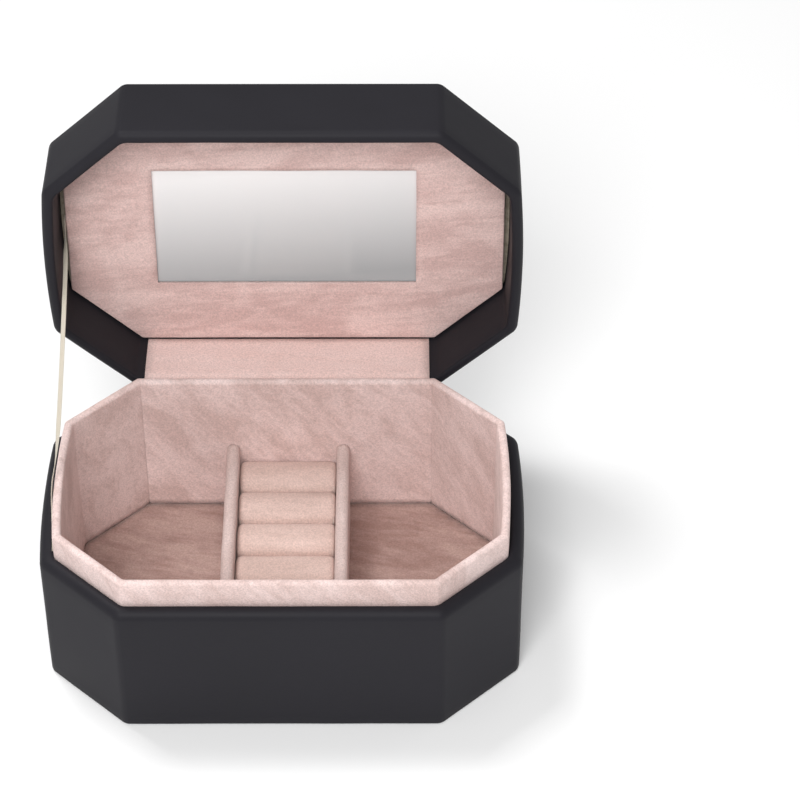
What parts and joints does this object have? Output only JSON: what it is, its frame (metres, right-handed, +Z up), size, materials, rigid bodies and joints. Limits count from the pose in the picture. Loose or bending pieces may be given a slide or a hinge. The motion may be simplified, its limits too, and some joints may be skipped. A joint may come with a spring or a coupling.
{
  "type": "jewelry case",
  "caption": "Octagonal hard jewelry case, leather-wrapped outside and suede-lined inside, with a mirrored hinged lid on a ribbon stay, open compartments and padded ring rolls.",
  "frame": {"origin": "centre of the case's underside", "axes": "+X to the right seen from the front, +Y to the back where the hinge is, +Z up; the lid stands open at rest"},
  "size_m": [0.1828, 0.1644, 0.1821],
  "materials": {
    "leather": "satin",
    "suede": "matte",
    "floor_suede": "matte",
    "roll_suede": "matte",
    "ribbon": "matte",
    "mirror_glass": "polished",
    "board": "matte",
    "card": "matte",
    "foam": "matte"
  },
  "bodies": {
    "base": {"base_bottom_leather": "leather", "base_corner_boards": "board", "base_floor_board": "board", "base_front_board": "board", "base_infill_card": "card", "base_left_board": "board", "base_rear_board": "board", "base_right_board": "board", "base_wall_leather": "leather", "divider_left_board": "board", "divider_left_suede": "suede", "divider_right_board": "board", "divider_right_suede": "suede", "floor_card": "card", "floor_suede": "floor_suede", "hinge_leather": "leather", "liner_corner_boards": "board", "liner_front_board": "board", "liner_left_board": "board", "liner_rear_board": "board", "liner_right_board": "board", "liner_suede": "suede", "ring_foam_cores": "foam", "ring_roll_1": "roll_suede", "ring_roll_2": "roll_suede", "ring_roll_3": "roll_suede", "ring_roll_4": "roll_suede", "ring_roll_5": "roll_suede", "ring_roll_6": "roll_suede", "stay_ribbon": "ribbon"},
    "lid": {"lid_corner_boards": "board", "lid_front_board": "board", "lid_left_board": "board", "lid_rear_board": "board", "lid_right_board": "board", "lid_top_board": "board", "lid_top_foam": "foam", "lid_top_leather": "leather", "lid_wall_leather": "leather", "mirror": "mirror_glass", "mirror_panel_board": "board", "mirror_panel_suede": "suede", "hinge_suede": "suede"}
  },
  "joints": [
    {"name": "lid_hinge", "type": "hinge", "parent": "base", "child": "lid", "pos_m": [0, 0.0602, 0.06225], "axis": [1, 0, 0], "range_deg": [0, 94.4], "deforming": ["hinge_leather", "hinge_suede", "stay_ribbon"]}
  ]
}
